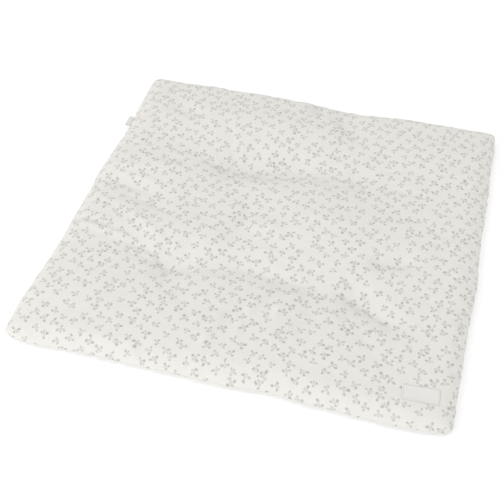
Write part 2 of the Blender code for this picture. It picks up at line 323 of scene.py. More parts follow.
BULGES = (
    Bulge(side=Side.FRONT, along=0.00, out=-0.005, reach=0.03),
    Bulge(side=Side.FRONT, along=0.08, out=0.004, reach=0.05),
    Bulge(side=Side.FRONT, along=0.62, out=-0.007, reach=0.06),
    Bulge(side=Side.FRONT, along=0.74, out=-0.002, reach=0.03),
    Bulge(side=Side.FRONT, along=0.99, out=-0.009, reach=0.05),
    Bulge(side=Side.RIGHT, along=0.00, out=-0.005, reach=0.04),
    Bulge(side=Side.RIGHT, along=0.09, out=-0.003, reach=0.07),
    Bulge(side=Side.RIGHT, along=0.42, out=0.006, reach=0.09),
    Bulge(side=Side.RIGHT, along=0.87, out=-0.006, reach=0.10),
    Bulge(side=Side.RIGHT, along=0.98, out=-0.009, reach=0.04),
    Bulge(side=Side.BACK, along=0.20, out=0.004, reach=0.07),
    Bulge(side=Side.BACK, along=0.35, out=0.003, reach=0.05),
    Bulge(side=Side.BACK, along=0.62, out=-0.011, reach=0.08),
    Bulge(side=Side.LEFT, along=0.11, out=0.004, reach=0.07),
    Bulge(side=Side.LEFT, along=0.30, out=-0.003, reach=0.06),
    Bulge(side=Side.LEFT, along=0.57, out=0.004, reach=0.05),
    Bulge(side=Side.LEFT, along=0.76, out=-0.005, reach=0.07),
)

PUCKERS = (
    Wave(length=0.053, height=0.0005, start=0.4),
    Wave(length=0.031, height=0.0004, start=2.1),
    Wave(length=0.017, height=0.0003, start=4.4),
)

LEAVES = (
    Leaf(x=0.25, y=0.09, radius=0.104, ink=1.00, fades=3.1),
    Leaf(x=-0.14, y=0.22, radius=0.100, ink=0.95, fades=5.7),
    Leaf(x=-0.08, y=-0.22, radius=0.104, ink=1.00, fades=7.9),
    Leaf(x=0.17, y=-0.17, radius=0.078, ink=0.80, fades=9.3),
    Leaf(x=0.01, y=0.02, radius=0.100, ink=0.55, fades=4.3),
)


def smooth(x: np.ndarray) -> np.ndarray:
    """0 up to x = 0, 1 from x = 1, and an even rise between."""
    x = np.clip(x, 0.0, 1.0)
    return x * x * (3 - 2 * x)


def bell(distance: np.ndarray, reach: np.ndarray | float) -> np.ndarray:
    """1 at no distance, falling away over the reach."""
    return np.exp(-np.square(distance / reach))


def beside(places: np.ndarray, points: Sequence[Sequence[float]]) -> tuple[np.ndarray, ...]:
    """Where places lie beside a line through some points.

    Args:
        places: The places, one in each row.
        points: The points of the line, in order.

    Returns:
        Each place's distance from the line, the share of the line's length at which it is
        nearest, and whether it is on the left of someone who walks along the line.
    """
    nearest = np.full(len(places), np.inf)
    along = np.zeros(len(places))
    on_left = np.zeros(len(places), bool)
    walked = 0.0
    for start, end in zip(points, points[1:]):
        run = np.subtract(end, start)
        length = math.hypot(*run)
        share = np.clip((places - start) @ run / length**2, 0.0, 1.0)
        aside = places - (start + share[:, None] * run)
        away = np.hypot(aside[:, 0], aside[:, 1])
        nearer = away < nearest
        nearest = np.where(nearer, away, nearest)
        along = np.where(nearer, walked + share * length, along)
        on_left = np.where(nearer, run[0] * aside[:, 1] > run[1] * aside[:, 0], on_left)
        walked += length
    return nearest, along / walked, on_left


def round_corners(
    x: np.ndarray, y: np.ndarray, half_x: float, half_y: float, radius: float
) -> tuple[np.ndarray, np.ndarray]:
    """Moves the points of a rectangle's grid so that its outer corners follow an arc.

    Args:
        x: The points' places along the width, from the middle.
        y: Their places along the depth, from the middle.
        half_x: Half of the rectangle's width.
        half_y: Half of its depth.
        radius: The arc's radius.

    Returns:
        The new places along the width and the depth.
    """
    over_x = np.clip(np.abs(x) - (half_x - radius), 0.0, radius) / radius
    over_y = np.clip(np.abs(y) - (half_y - radius), 0.0, radius) / radius
    both = (over_x > 0) & (over_y > 0)
    round_x = half_x - radius + radius * over_x * np.sqrt(1 - over_y**2 / 2)
    round_y = half_y - radius + radius * over_y * np.sqrt(1 - over_x**2 / 2)
    return (
        np.where(both, np.copysign(round_x, x), x),
        np.where(both, np.copysign(round_y, y), y),
    )


def places_of(made: bpy.types.Object) -> np.ndarray:
    """The places of a mesh's points, one in each row."""
    found = np.empty(len(made.data.vertices) * 3)
    made.data.vertices.foreach_get("co", found)
    return found.reshape(-1, 3)


def normals_of(made: bpy.types.Object) -> np.ndarray:
    """The outward directions at a mesh's points, one in each row."""
    found = np.empty(len(made.data.vertices) * 3)
    made.data.vertices.foreach_get("normal", found)
    return found.reshape(-1, 3)


def move_to(made: bpy.types.Object, places: np.ndarray) -> None:
    """Gives a mesh's points new places."""
    made.data.vertices.foreach_set("co", places.ravel())
    made.data.update()


def applied(made: bpy.types.Object) -> None:
    """Turns an object's modifiers into mesh."""
    shown = made.evaluated_get(bpy.context.evaluated_depsgraph_get())
    mesh = bpy.data.meshes.new_from_object(shown)
    made.modifiers.clear()
    old = made.data
    made.data = mesh
    bpy.data.meshes.remove(old)
    mesh.name = made.name


def object_from(name: str, shape: bmesh.types.BMesh, finish: bpy.types.Material) -> bpy.types.Object:
    """A named object with one finish, made from a bmesh, which is freed.

    Args:
        name: The object's name.
        shape: The shape.
        finish: The material that it takes.

    Returns:
        The object, linked to the scene.
    """
    bmesh.ops.recalc_face_normals(shape, faces=shape.faces)
    mesh = bpy.data.meshes.new(name)
    shape.to_mesh(mesh)
    shape.free()
    mesh.materials.append(finish)
    mesh.shade_smooth()
    made = bpy.data.objects.new(name, mesh)
    bpy.context.scene.collection.objects.link(made)
    return made


def add_strand(shape: bmesh.types.BMesh, points: Sequence[Vector], radius: float, sides: int = 6) -> None:
    """Adds a closed strand of thread that follows some points and narrows at its ends.

    Args:
        shape: The shape to add to.
        points: The points of its middle line, three or more.
        radius: Half of its thickness.
        sides: How many sides it has round it.
    """
    rings = []
    last = len(points) - 1
    for index, point in enumerate(points):
        ahead = (points[min(index + 1, last)] - points[max(index - 1, 0)]).normalized()
        across = ahead.cross(UP).normalized()
        over = across.cross(ahead)
        wide = radius * (0.45 if index in (0, last) else 1.0)
        turns = (math.tau * side / sides for side in range(sides))
        around = [across * math.cos(turn) + over * math.sin(turn) for turn in turns]
        rings.append([shape.verts.new(point + way * wide) for way in around])
    for low, high in zip(rings, rings[1:]):
        for side in range(sides):
            after = (side + 1) % sides
            shape.faces.new((low[side], low[after], high[after], high[side]))
    shape.faces.new(rings[0])
    shape.faces.new(rings[-1])


class Nodes:
    """Adds nodes to a material or a node group, and joins them."""

    def __init__(self, tree: bpy.types.NodeTree) -> None:
        """Takes the node tree to add to."""
        self.tree = tree

    def give(self, socket: bpy.types.NodeSocket, value: Any) -> None:
        """Joins a socket to another one, or sets its value."""
        if isinstance(value, bpy.types.NodeSocket):
            self.tree.links.new(value, socket)
        else:
            socket.default_value = value

    def add(self, kind: str, inputs: dict[str | int, Any] | None = None, **settings: Any) -> bpy.types.Node:
        """Adds a node.

        Args:
            kind: The node's type.
            inputs: Its inputs by name or number, each with a value or another node's output.
            settings: Its own settings.

        Returns:
            The node.
        """
        node = self.tree.nodes.new(kind)
        for name, value in settings.items():
            setattr(node, name, value)
        for name, value in (inputs or {}).items():
            self.give(node.inputs[name], value)
        return node

    def maths(self, operation: str, *values: Any) -> bpy.types.NodeSocket:
        """The result of a Math node."""
        return self.add("ShaderNodeMath", dict(enumerate(values)), operation=operation).outputs[0]

    def vector(self, operation: str, *values: Any) -> bpy.types.NodeSocket:
        """The result of a Vector Math node, which is a number for a dot product or a distance."""
        node = self.add("ShaderNodeVectorMath", dict(enumerate(values)), operation=operation)
        return node.outputs["Value" if operation in ("DOT_PRODUCT", "DISTANCE") else "Vector"]

    def scaled(self, value: Any, scale: Any) -> bpy.types.NodeSocket:
        """A vector or colour times a number."""
        inputs = {"Vector": value, "Scale": scale}
        return self.add("ShaderNodeVectorMath", inputs, operation="SCALE").outputs["Vector"]

    def between(self, value: Any, low: float, high: float, first: Any, second: Any) -> bpy.types.NodeSocket:
        """A number that goes evenly from first to second as the value goes from low to high."""
        inputs = {0: value, 1: low, 2: high, 3: first, 4: second}
        return self.add("ShaderNodeMapRange", inputs, interpolation_type="SMOOTHSTEP").outputs[0]

    def grain(self, place: Any, detail: float = 2.0) -> bpy.types.NodeSocket:
        """A soft noise between 0 and 1."""
        inputs = {"Vector": place, "Scale": 1.0, "Detail": detail, "Roughness": 0.5}
        return self.add("ShaderNodeTexNoise", inputs).outputs["Fac"]

    def turned(self, place: Any, angle: Any) -> bpy.types.NodeSocket:
        """A place turned by an angle about the upright axis."""
        inputs = {"Vector": place, "Angle": angle}
        return self.add("ShaderNodeVectorRotate", inputs, rotation_type="Z_AXIS").outputs[0]


class Group:
    """An effect as a shader node group, with named inputs and outputs."""

    title = ""
    inputs: dict[str, tuple[str, Any]] = {}
    outputs: tuple[str, ...] = ()

    @classmethod
    def placed(cls, nodes: Nodes, values: dict[str, Any]) -> bpy.types.Node:
        """Places the effect in a tree.

        Args:
            nodes: The tree's nodes.
            values: The group's inputs by name.

        Returns:
            The group's node.
        """
        tree = bpy.data.node_groups.get(cls.title) or cls.built()
        return nodes.add("ShaderNodeGroup", values, node_tree=tree)

    @classmethod
    def built(cls) -> bpy.types.NodeTree:
        """Makes the group's own tree."""
        tree = bpy.data.node_groups.new(cls.title, "ShaderNodeTree")
        for name, (kind, value) in cls.inputs.items():
            socket = tree.interface.new_socket(name, in_out="INPUT", socket_type=kind)
            socket.default_value = value
        for name in cls.outputs:
            tree.interface.new_socket(name, in_out="OUTPUT", socket_type="NodeSocketFloat")
        nodes = Nodes(tree)
        given = nodes.add("NodeGroupInput").outputs
        found = cls.worked_out(nodes, given)
        nodes.add("NodeGroupOutput", dict(zip(cls.outputs, found)))
        return tree

    @classmethod
    def worked_out(cls, nodes: Nodes, given: Any) -> tuple[bpy.types.NodeSocket, ...]:
        """The group's outputs in order, worked out from its inputs."""
        raise NotImplementedError


class Weave(Group):
    """Yarns that cross over and under each other, some of them thicker than others."""

    title = "Woven yarns"
    inputs = {
        "Place": ("NodeSocketVector", (0.0, 0.0, 0.0)),
        "Yarn": ("NodeSocketFloat", 0.001),
        "Slub": ("NodeSocketFloat", 0.03),
    }
    outputs = ("Height", "Shade")
    slub_along = 25.0
    slub_across = 700.0

    @classmethod
    def worked_out(cls, nodes: Nodes, given: Any) -> tuple[bpy.types.NodeSocket, ...]:
        """The yarns' height between 0 and 1, and a shade round 1 for the colour."""
        turns = nodes.scaled(given["Place"], nodes.maths("DIVIDE", math.pi, given["Yarn"]))
        parts = nodes.add("ShaderNodeSeparateXYZ", {0: turns}).outputs
        crossed = nodes.maths("MULTIPLY", nodes.maths("SINE", parts["X"]), nodes.maths("SINE", parts["Y"]))
        long, short = cls.slub_along, cls.slub_across
        lengthwise = nodes.grain(nodes.vector("MULTIPLY", given["Place"], (long, short, 1.0)))
        crosswise = nodes.grain(nodes.vector("MULTIPLY", given["Place"], (short, long, 1.0)))
        streaks = nodes.maths("SUBTRACT", nodes.maths("ADD", lengthwise, crosswise), 1.0)
        height = nodes.maths("MULTIPLY_ADD", crossed, 0.25, nodes.maths("MULTIPLY_ADD", streaks, 0.5, 0.5))
        shade = nodes.maths("MULTIPLY_ADD", streaks, given["Slub"], 1.0)
        return height, shade


class Mottle(Group):
    """Soft uneven patches, as cloth has from washing and handling."""

    title = "Uneven tone"
    inputs = {
        "Place": ("NodeSocketVector", (0.0, 0.0, 0.0)),
        "Patch": ("NodeSocketFloat", 0.2),
        "Amount": ("NodeSocketFloat", 0.02),
    }
    outputs = ("Shade",)

    @classmethod
    def worked_out(cls, nodes: Nodes, given: Any) -> tuple[bpy.types.NodeSocket, ...]:
        """A shade round 1 for the colour."""
        place = nodes.scaled(given["Place"], nodes.maths("DIVIDE", 1.0, given["Patch"]))
        patches = nodes.maths("SUBTRACT", nodes.grain(place, 3.0), 0.5)
        return (nodes.maths("MULTIPLY_ADD", patches, nodes.maths("MULTIPLY", given["Amount"], 2.0), 1.0),)


class SprigPrint(Group):
    """Small sprigs of round leaves on soft stems, tossed over the cloth and each turned its own way."""

    title = "Sprig print"
    inputs = {
        "Place": ("NodeSocketVector", (0.0, 0.0, 0.0)),
        "Spacing": ("NodeSocketFloat", 0.028),
        "Toss": ("NodeSocketFloat", 0.4),
    }
    outputs = ("Ink",)
    turn = 0.47
    bend = 0.30
    stem_radius = 0.045
    stem_ink = 0.44
    edge = 0.056
    palest = 0.55
    smallest = 0.88
    size_range = 0.30

    @classmethod
    def inked(cls, nodes: Nodes, distance: Any, radius: float, ink: Any) -> bpy.types.NodeSocket:
        """The ink at a distance from the middle line of a stroke."""
        return nodes.between(distance, radius - cls.edge, radius + cls.edge, ink, 0.0)

    @classmethod
    def own_place(cls, nodes: Nodes, given: Any) -> tuple[bpy.types.NodeSocket, Any]:
        """Finds the sprig that a place belongs to.

        Args:
            nodes: The group's nodes.
            given: The group's inputs.

        Returns:
            The place on the sprig, and three numbers between 0 and 1 that differ from sprig to sprig.
        """
        place = nodes.scaled(given["Place"], nodes.maths("DIVIDE", 1.0, given["Spacing"]))
        turned = nodes.turned(place, cls.turn)
        cell = nodes.add(
            "ShaderNodeTexVoronoi",
            {"Vector": turned, "Scale": 1.0, "Randomness": given["Toss"]},
            voronoi_dimensions="2D",
            feature="F1",
        )
        chance = nodes.add("ShaderNodeSeparateColor", {0: cell.outputs["Color"]}).outputs
        away = nodes.vector("SUBTRACT", turned, cell.outputs["Position"])
        uneven = nodes.add("ShaderNodeTexNoise", {"Vector": turned, "Scale": 1.7, "Detail": 0.0})
        bent = nodes.scaled(nodes.vector("SUBTRACT", uneven.outputs["Color"], (0.5, 0.5, 0.5)), cls.bend)
        away = nodes.vector("ADD", away, bent)
        own = nodes.turned(away, nodes.maths("MULTIPLY", chance[0], math.tau))
        flipped = nodes.maths("SUBTRACT", nodes.maths("MULTIPLY", nodes.maths("ROUND", chance[1]), 2.0), 1.0)
        mirror = nodes.add("ShaderNodeCombineXYZ", {0: flipped, 1: 1.0}).outputs[0]
        own = nodes.vector("MULTIPLY", own, mirror)
        return nodes.scaled(own, nodes.maths("MULTIPLY_ADD", chance[2], cls.size_range, cls.smallest)), chance

    @classmethod
    def worked_out(cls, nodes: Nodes, given: Any) -> tuple[bpy.types.NodeSocket, ...]:
        """How much ink lies on the cloth, between 0 and 1."""
        own, chance = cls.own_place(nodes, given)
        ink = None
        for number, leaf in enumerate(LEAVES):
            tip = (leaf.x, leaf.y, 0.0)
            along = nodes.maths("DIVIDE", nodes.vector("DOT_PRODUCT", own, tip), leaf.x**2 + leaf.y**2)
            on_stem = nodes.maths("MINIMUM", nodes.maths("MAXIMUM", along, 0.0), 1.0)
            from_stem = nodes.vector("DISTANCE", own, nodes.scaled(tip, on_stem))
            faded = nodes.maths("FRACT", nodes.maths("MULTIPLY", chance[number % 3], leaf.fades))
            fading = nodes.maths("MULTIPLY_ADD", faded, 1 - cls.palest, cls.palest)
            strength = nodes.maths("MULTIPLY", fading, leaf.ink)
            for drawn in (
                cls.inked(nodes, nodes.vector("DISTANCE", own, tip), leaf.radius, strength),
                cls.inked(nodes, from_stem, cls.stem_radius, cls.stem_ink),
            ):
                ink = drawn if ink is None else nodes.maths("MAXIMUM", ink, drawn)
        return (ink,)


class SeamShade(Group):
    """Painted shade: a thin darker line where a panel goes into its seam's groove, broken up by the stitches'
    pull.
    """

    title = "Painted seam shade"
    inputs = {
        "Place": ("NodeSocketVector", (0.0, 0.0, 0.0)),
        "Half": ("NodeSocketFloat", 0.475),
        "Width": ("NodeSocketFloat", 0.003),
    }
    outputs = ("Shade",)
    # How much of the colour the painted seam shade keeps at its darkest
    darkest = 0.90
    pulls_per_metre = 160.0

    @classmethod
    def worked_out(cls, nodes: Nodes, given: Any) -> tuple[bpy.types.NodeSocket, ...]:
        """A painted shade up to 1 for the colour, darkest right at the seam."""
        flat = nodes.add("ShaderNodeSeparateXYZ", {0: nodes.vector("ABSOLUTE", given["Place"])}).outputs
        from_seam = nodes.maths("SUBTRACT", given["Half"], nodes.maths("MAXIMUM", flat["X"], flat["Y"]))
        pull = nodes.grain(nodes.scaled(given["Place"], cls.pulls_per_metre), 0.0)
        wide = nodes.maths("MULTIPLY", given["Width"], nodes.maths("MULTIPLY_ADD", pull, 1.2, 0.4))
        return (nodes.between(from_seam, 0.0, wide, cls.darkest, 1.0),)


@dataclass(frozen=True)
class Cloth:
    """A matt woven cloth, whose grain follows its place in metres."""

    name: str
    colour: tuple[float, float, float]
    yarn: float = 0.0011
    slub: float = 0.05
    weave_height: float = 0.00010
    weave_bump: float = 0.6
    roughness: float = 0.88
    patch: float = 0.16
    mottle: float = 0.012
    sheen: float = 0.10

    def place(self, nodes: Nodes) -> bpy.types.NodeSocket:
        """The place on the cloth, in metres."""
        return nodes.add("ShaderNodeTexCoord").outputs["Object"]

    def coloured(self, nodes: Nodes, place: bpy.types.NodeSocket) -> Any:
        """The cloth's colour before the grain shades it."""
        return self.colour

    def material(self) -> bpy.types.Material:
        """Makes the finish."""
        made = bpy.data.materials.new(self.name)
        made.use_nodes = True
        nodes = Nodes(made.node_tree)
        shader = made.node_tree.nodes["Principled BSDF"]
        place = self.place(nodes)
        weave = Weave.placed(nodes, {"Place": place, "Yarn": self.yarn, "Slub": self.slub}).outputs
        tone = Mottle.placed(nodes, {"Place": place, "Patch": self.patch, "Amount": self.mottle}).outputs
        shade = nodes.maths("MULTIPLY", weave["Shade"], tone["Shade"])
        nodes.give(shader.inputs["Base Color"], nodes.scaled(self.coloured(nodes, place), shade))
        rough = nodes.maths("MULTIPLY_ADD", weave["Height"], -0.08, self.roughness + 0.04)
        nodes.give(shader.inputs["Roughness"], rough)
        raised = {"Height": weave["Height"], "Distance": self.weave_height, "Strength": self.weave_bump}
        bump = nodes.add("ShaderNodeBump", raised)
        nodes.give(shader.inputs["Normal"], bump.outputs[0])
        shader.inputs["Specular IOR Level"].default_value = 0.25
        shader.inputs["Sheen Weight"].default_value = self.sheen
        shader.inputs["Sheen Roughness"].default_value = 0.5
        return made


@dataclass(frozen=True)
class PanelCloth(Cloth):
    """Cloth of a cover panel, whose place is read from the panel's flat cut."""

    middle: tuple[float, float] = (0.0, 0.0)
    metres: float = 1.0
    half: float = 0.475
    # How wide the painted shade along the seam's groove is
    seam_shade_width: float = 0.0020

    def place(self, nodes: Nodes) -> bpy.types.NodeSocket:
        """The place on the flat panel, in metres from its middle."""
        flat = nodes.add("ShaderNodeUVMap", uv_map=MAP_NAME).outputs[0]
        away = nodes.vector("SUBTRACT", flat, (*self.middle, 0.0))
        return nodes.scaled(away, self.metres)

    def coloured(self, nodes: Nodes, place: bpy.types.NodeSocket) -> Any:
        """The cloth's colour, with painted shade along the groove where it goes into the seam."""
        values = {"Place": place, "Half": self.half, "Width": self.seam_shade_width}
        # Painted shade: the colour darkens in a thin line along the seam's groove
        return nodes.scaled(self.ground(nodes, place), SeamShade.placed(nodes, values).outputs["Shade"])

    def ground(self, nodes: Nodes, place: bpy.types.NodeSocket) -> Any:
        """The cloth's colour away from its seam."""
        return self.colour


@dataclass(frozen=True)
class PrintedCloth(PanelCloth):
    """Panel cloth with the sprig print on it."""

    ink_colour: tuple[float, float, float] = (0.415, 0.402, 0.375)
    spacing: float = 0.028
    toss: float = 0.48

    def ground(self, nodes: Nodes, place: bpy.types.NodeSocket) -> Any:
        """The ground's colour, or the ink's where the print lies."""
        values = {"Place": place, "Spacing": self.spacing, "Toss": self.toss}
        ink = SprigPrint.placed(nodes, values).outputs["Ink"]
        mixed = nodes.add(
            "ShaderNodeMix", {0: ink, 6: (*self.colour, 1.0), 7: (*self.ink_colour, 1.0)}, data_type="RGBA"
        )
        return mixed.outputs[2]


@dataclass(frozen=True)
class PadShape:
    """The pad's form: where its seam runs and how high its filling stands."""

    side: float = 0.95
    corner_radius: float = 0.020
    seam_height: float = 0.019
    knife: float = 0.25
    top_roll: float = 0.036
    under_roll: float = 0.012
    fill_height: float = 0.040
    corner_loss: float = 0.010
    corner_reach: float = 0.10
    channel_fade: float = 0.3
    hollow_reach: float = 0.085
    pit_reach: float = 0.026
    pit_share: float = 0.50
    under_dip: float = 0.004
    under_reach: float = 0.030

    @property
    def half(self) -> float:
        """Half of the mat's side."""
        return self.side / 2

    def shares(self, x: np.ndarray, y: np.ndarray) -> tuple[np.ndarray, np.ndarray]:
        """Places in metres as shares of the side, u and v."""
        return x / self.side + 0.5, y / self.side + 0.5

    def spot(self, tuft: Tuft) -> tuple[float, float]:
        """A tuft's place in metres."""
        return (tuft.u - 0.5) * self.side, (tuft.v - 0.5) * self.side

    def height(self, x: np.ndarray, y: np.ndarray) -> np.ndarray:
        """The height that the filling would have if the edge weren't sewn down.

        Args:
            x: Places along the width, in metres.
            y: Places along the depth.

        Returns:
            The heights over the floor.
        """
        u, v = self.shares(x, y)
        places = np.column_stack([u.ravel(), v.ravel()])
        from_corner = np.hypot(self.half - np.abs(x), self.half - np.abs(y))
        found = self.fill_height - self.corner_loss * bell(from_corner, self.corner_reach)
        for puff in PUFFS:
            found = found + puff.rise * bell(u - puff.u, puff.wide) * bell(v - puff.v, puff.deep)
        for channel in CHANNELS:
            away, along, on_left = beside(places, channel.points)
            fade = smooth(np.minimum(along, 1 - along) / self.channel_fade)
            dip = channel.depth * fade * bell(away, np.where(on_left, channel.left, channel.right))
            found = found - dip.reshape(x.shape)
        for tuft in TUFTS:
            at_x, at_y = self.spot(tuft)
            away = np.hypot(x - at_x, y - at_y)
            wide = (1 - self.pit_share) * bell(away, self.hollow_reach)
            found = found - tuft.dip * (wide + self.pit_share * bell(away, self.pit_reach))
        return found

    def inside(self, x: np.ndarray, y: np.ndarray) -> np.ndarray:
        """How far places of the flat square are inside its seam."""
        core = self.half - self.corner_radius
        over_x, over_y = np.abs(x) - core, np.abs(y) - core
        outside = np.hypot(np.maximum(over_x, 0.0), np.maximum(over_y, 0.0))
        return self.corner_radius - outside - np.minimum(np.maximum(over_x, over_y), 0.0)

    def rolled(self, inset: np.ndarray, reach: float) -> np.ndarray:
        """The share of its full height that a rolled edge has at a distance inside the seam."""
        left = math.cos(self.knife) * (1 - np.clip(inset / reach, 0.0, 1.0))
        low = math.sin(self.knife)
        return (np.sqrt(1 - left * left) - low) / (1 - low)

    def top(self, x: np.ndarray, y: np.ndarray, inset: np.ndarray) -> np.ndarray:
        """The top panel's height."""
        return self.seam_height + (self.height(x, y) - self.seam_height) * self.rolled(inset, self.top_roll)

    def under(self, x: np.ndarray, y: np.ndarray, inset: np.ndarray) -> np.ndarray:
        """The back panel's height: flat on the floor but for the tufts' dimples and the rim."""
        dimples = np.zeros_like(x)
        for tuft in TUFTS:
            at_x, at_y = self.spot(tuft)
            dimples += self.under_dip * smooth(1 - np.hypot(x - at_x, y - at_y) / self.under_reach)
        return dimples + self.seam_height * (1 - self.rolled(inset, self.under_roll))

    def drawn_in(self, x: np.ndarray, y: np.ndarray) -> tuple[np.ndarray, np.ndarray]:
        """Moves places of the flat square so that its sides take their real lines."""
        across, up = x / self.half, y / self.half
        right_left = (Side.RIGHT, Side.LEFT)
        shift_x = np.where(x > 0, *(self.shift(side, (up + 1) / 2) for side in right_left))
        back_front = (Side.BACK, Side.FRONT)
        shift_y = np.where(y > 0, *(self.shift(side, (across + 1) / 2) for side in back_front))
        return x + shift_x * across**3, y + shift_y * up**3

    def shift(self, side: Side, along: np.ndarray) -> np.ndarray:
        """How far outwards a side's seam lies from the straight line between its corners."""
        found = -BOWS[side] * (1 - np.square(2 * along - 1))
        for bulge in BULGES:
            if bulge.side is side:
                found = found + bulge.out * bell(along - bulge.along, bulge.reach)
        return found


@dataclass
class MatCover:
    """The two cotton panels, sewn together round the rim and filled."""

    shape: PadShape = field(default_factory=PadShape)
    cells: int = 110
    top_on_map: tuple[float, float, float] = (0.392, 0.392, 0.776)
    back_on_map: tuple[float, float, float] = (0.891, 0.109, 0.206)
    frames: int = 20
    pressure: float = 4.0
    growth: float = 0.02
    cloth_quality: int = 6
    stretch_stiffness: float = 20.0
    bend_stiffness: float = 0.3
    held_on_floor: float = 0.0005
    seam_hold: float = 0.7
    seam_sharpness: float = 0.6
    most_move: float = 0.003
    held_round_tuft: float = 0.020
    fold_start: float = 0.006
    crease_fade: float = 0.35
    pleat_start: float = 0.010
    pucker_start: float = 0.004
    pucker_reach: float = 0.016
    pucker_slant: float = 1.37
    ripple: float = 0.0011
    fine_ripple: float = 0.7

    def reach_of(self, panel: Panel) -> float:
        """How far inside the seam a panel's rolled edge ends."""
        return self.shape.top_roll if panel is Panel.TOP else self.shape.under_roll

    def edge_cloth(self, panel: Panel) -> float:
        """The length of the cloth that goes round a panel's rolled edge."""
        full = self.shape.fill_height if panel is Panel.TOP else 0.0
        inset = np.linspace(0.0, self.reach_of(panel), 200)
        rise = abs(full - self.shape.seam_height) * self.shape.rolled(inset, self.reach_of(panel))
        return float(np.hypot(np.diff(inset), np.diff(rise)).sum())

    def half_cut(self, panel: Panel) -> float:
        """Half of the side that a panel was cut to, without its seam allowance."""
        return self.shape.half - self.reach_of(panel) + self.edge_cloth(panel)

    def lines(self, panel: Panel) -> tuple[np.ndarray, np.ndarray]:
        """Where the lines of a panel's grid lie.

        Args:
            panel: The panel.

        Returns:
            Their places on the flat cut and on the sewn mat, both from the middle.
        """
        flat = np.linspace(-1, 1, self.cells + 1) * self.half_cut(panel)
        cloth = self.edge_cloth(panel)
        from_seam = self.half_cut(panel) - np.abs(flat)
        knife = self.shape.knife
        turn = knife + (math.pi / 2 - knife) * np.clip(from_seam / cloth, 0.0, 1.0)
        in_roll = self.reach_of(panel) * (1 - np.cos(turn) / math.cos(knife))
        inset = np.where(from_seam < cloth, in_roll, self.reach_of(panel) + from_seam - cloth)
        return flat, np.copysign(self.shape.half - inset, flat)

    def on_map(self, panel: Panel) -> tuple[float, float, float]:
        """The middle of a panel on the map, and its side there."""
        return self.top_on_map if panel is Panel.TOP else self.back_on_map

    def cloth_of(self, panel: Panel) -> dict[str, Any]:
        """What a panel's finish needs in order to read a place on the flat cut from the map."""
        middle_x, middle_y, side = self.on_map(panel)
        half = self.half_cut(panel)
        return {"middle": (middle_x, middle_y), "metres": 2 * half / side, "half": half}

    def sewn(self) -> bpy.types.Object:
        """Makes the two panels as one closed mesh with the flat cut on its map."""
        count = self.cells + 1
        top = np.arange(count * count).reshape(count, count)
        back = top.copy()
        first = count * count
        back[1:-1, 1:-1] = np.arange(first, first + (count - 2) ** 2).reshape(count - 2, count - 2)
        points = np.zeros((first + (count - 2) ** 2, 3))
        faces, corners, slots = [], [], []
        for panel, numbers in ((Panel.BACK, back), (Panel.TOP, top)):
            flat, line = self.lines(panel)
            half = self.shape.half
            x, y = round_corners(*np.meshgrid(line, line), half, half, self.shape.corner_radius)
            inset = self.shape.inside(x, y)
            x, y = self.shape.drawn_in(x, y)
            height = self.shape.top if panel is Panel.TOP else self.shape.under
            points[numbers] = np.stack([x, y, height(x, y, inset)], axis=-1)
            middle_x, middle_y, side = self.on_map(panel)
            mapped = np.stack(np.meshgrid(flat, flat), axis=-1) * side / (2 * self.half_cut(panel))
            mapped += (middle_x, middle_y)
            around = ((slice(0, -1), slice(0, -1)), (slice(0, -1), slice(1, None)))
            around += ((slice(1, None), slice(1, None)), (slice(1, None), slice(0, -1)))
            if panel is Panel.BACK:
                around = around[::-1]
            faces.append(np.stack([numbers[part] for part in around], axis=-1).reshape(-1, 4))
            corners.append(np.stack([mapped[part] for part in around], axis=-2).reshape(-1, 2))
            slots.append(np.full(self.cells**2, panel.value))
        mesh = bpy.data.meshes.new("mat_cover")
        mesh.from_pydata(points.tolist(), [], np.concatenate(faces).tolist())
        mesh.uv_layers.new(name=MAP_NAME).data.foreach_set("uv", np.concatenate(corners).ravel())
        mesh.polygons.foreach_set("material_index", np.concatenate(slots))
        self.mark_seam(mesh, np.unique(top[[0, -1]].tolist() + top[:, [0, -1]].T.tolist()))
        made = bpy.data.objects.new("mat_cover", mesh)
        bpy.context.scene.collection.objects.link(made)
        return made

    def mark_seam(self, mesh: bpy.types.Mesh, seam: np.ndarray) -> None:
        """Keeps the seam's edges sharp when the mesh is made finer.

        Args:
            mesh: The sewn panels.
            seam: The numbers of the points on the seam.
        """
        on_seam = np.zeros(len(mesh.vertices), bool)
        on_seam[seam] = True
        ends = np.empty(len(mesh.edges) * 2, np.int32)
        mesh.edges.foreach_get("vertices", ends)
        sharp = on_seam[ends.reshape(-1, 2)].all(axis=1)
        crease = mesh.attributes.new("crease_edge", "FLOAT", "EDGE")
        crease.data.foreach_set("value", sharp * self.seam_sharpness)

